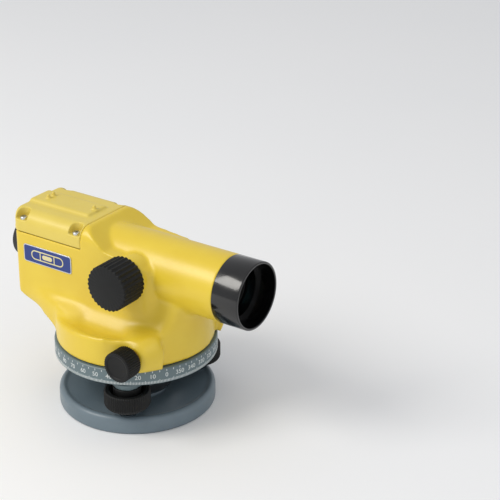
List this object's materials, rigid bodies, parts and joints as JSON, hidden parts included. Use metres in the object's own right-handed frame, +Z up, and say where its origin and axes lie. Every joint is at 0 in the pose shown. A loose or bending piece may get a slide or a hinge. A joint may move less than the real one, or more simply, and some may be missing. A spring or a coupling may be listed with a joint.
{
  "type": "automatic level",
  "caption": "Surveyor's automatic level: telescope housing with objective hood, focusing and tangent knobs, graduated horizontal circle and a foot-screw levelling base.",
  "frame": {"origin": "centre of the base plate's underside, on the vertical axis, at the mouth of the tripod screw hole", "axes": "+Z up, +X along the telescope towards the objective, focusing knob on the -Y side"},
  "size_m": [0.2087, 0.132, 0.1432],
  "materials": {
    "yellow_enamel": "satin textured enamel on cast aluminium",
    "base_enamel": "semi-gloss blue-grey enamel",
    "circle_enamel": "satin grey-green enamel with white graduations on the circle",
    "knob_plastic": "satin moulded",
    "hood_black": "gloss black",
    "steel": "bright",
    "brass": "machined",
    "copper": "machined",
    "rubber": "matt",
    "label_blue": "printed foil",
    "glass": "coated",
    "mirror_glass": "silvered"
  },
  "bodies": {
    "base": {"base_plate": "base_enamel", "spring_plate": "steel", "spring_plate_screws": "steel"},
    "foot_screw_a": {"foot_screw_a": "steel", "foot_knob_a": "knob_plastic"},
    "foot_screw_b": {"foot_screw_b": "steel", "foot_knob_b": "knob_plastic"},
    "foot_screw_c": {"foot_screw_c": "steel", "foot_knob_c": "knob_plastic"},
    "tribrach": {"tribrach": "circle_enamel", "foot_bushes": "knob_plastic", "centre_axis": "steel", "axis_nut": "steel", "circle_friction_ring": "rubber"},
    "circle": {"horizontal_circle": "circle_enamel"},
    "clutch_wheel": {"worm_wheel": "brass", "clutch_spring": "steel"},
    "alidade": {"main_body": "yellow_enamel", "axis_sleeve": "brass", "drum_cover": "knob_plastic", "drum_cover_screws": "steel", "worm_bushes": "brass", "top_cover": "yellow_enamel", "cover_gasket": "rubber", "cover_screws": "steel", "label_plate": "label_blue", "objective_hood": "hood_black", "objective_cell": "hood_black", "objective_crown": "glass", "objective_flint": "glass", "objective_ring": "hood_black", "focus_bush": "brass", "compensator_frame": "steel", "fixed_prisms": "glass", "damper_magnets": "steel", "reticle_cell": "brass", "reticle": "glass", "reticle_screws": "steel", "bubble_holder": "yellow_enamel", "bubble_vial": "glass", "bubble_screws": "steel", "mirror_pin": "steel"},
    "worm": {"worm_shaft": "steel", "tangent_knob_right": "knob_plastic", "tangent_knob_left": "knob_plastic"},
    "focus_drive": {"focus_pinion": "steel", "focus_knob": "knob_plastic"},
    "focus_carriage": {"focus_cell": "brass", "focus_lens": "glass", "focus_rack": "steel"},
    "pendulum": {"pendulum": "brass", "pendulum_prism": "glass", "suspension_tapes": "steel", "damper_vane": "copper"},
    "eyepiece": {"eyepiece_tube": "hood_black", "eyepiece_lenses": "glass", "eyecup": "rubber"},
    "mirror": {"mirror_frame": "knob_plastic", "bubble_mirror": "mirror_glass"}
  },
  "joints": [
    {"name": "foot_screw_a_spin", "type": "hinge", "parent": "base", "child": "foot_screw_a", "pos_m": [0.0245, -0.04244, 0.01], "axis": [0, 0, 1], "range_deg": [-800, 800]},
    {"name": "foot_screw_b_spin", "type": "hinge", "parent": "base", "child": "foot_screw_b", "pos_m": [0.0245, 0.04244, 0.01], "axis": [0, 0, 1], "range_deg": [-800, 800]},
    {"name": "foot_screw_c_spin", "type": "hinge", "parent": "base", "child": "foot_screw_c", "pos_m": [-0.049, 0, 0.01], "axis": [0, 0, 1], "range_deg": [-800, 800]},
    {"name": "tribrach_tilt", "type": "hinge", "parent": "base", "child": "tribrach", "pos_m": [-0.049, 0, 0.0359], "axis": [0.866, 0.5, 0], "range_deg": [-1.8, 1.8]},
    {"name": "circle_turn", "type": "hinge", "parent": "tribrach", "child": "circle", "pos_m": [0, 0, 0.0462], "axis": [0, 0, 1], "continuous": true},
    {"name": "coarse_turn", "type": "hinge", "parent": "tribrach", "child": "clutch_wheel", "pos_m": [0, 0, 0.0628], "axis": [0, 0, 1], "continuous": true},
    {"name": "fine_turn", "type": "hinge", "parent": "clutch_wheel", "child": "alidade", "pos_m": [0, 0, 0.0628], "axis": [0, 0, 1], "continuous": true},
    {"name": "tangent_spin", "type": "hinge", "parent": "alidade", "child": "worm", "pos_m": [0.035, 0, 0.0628], "axis": [0, 1, 0], "continuous": true},
    {"name": "focus_spin", "type": "hinge", "parent": "alidade", "child": "focus_drive", "pos_m": [0.0184, -0.02, 0.1128], "axis": [0, 1, 0], "range_deg": [-255, 255]},
    {"name": "focus_slide", "type": "slide", "parent": "alidade", "child": "focus_carriage", "axis": [1, 0, 0], "range_m": [-0.01, 0.01]},
    {"name": "compensator_swing", "type": "hinge", "parent": "alidade", "child": "pendulum", "pos_m": [-0.044, 0, 0.125], "axis": [0, 1, 0], "range_deg": [-0.5, 0.5]},
    {"name": "diopter_turn", "type": "hinge", "parent": "alidade", "child": "eyepiece", "pos_m": [-0.09, 0, 0.103], "axis": [1, 0, 0], "range_deg": [-180, 180]},
    {"name": "mirror_fold", "type": "hinge", "parent": "alidade", "child": "mirror", "pos_m": [0.0025, 0.0412, 0.087], "axis": [0, 1, 0], "range_deg": [-45, 40]}
  ],
  "couplings": [
    {"joint": "tribrach_tilt", "follows": "foot_screw_a_spin", "ratio": 0.0021654},
    {"joint": "tangent_spin", "follows": "fine_turn", "ratio": 80},
    {"joint": "focus_spin", "follows": "focus_slide", "rad_per_m": -444.44}
  ]
}
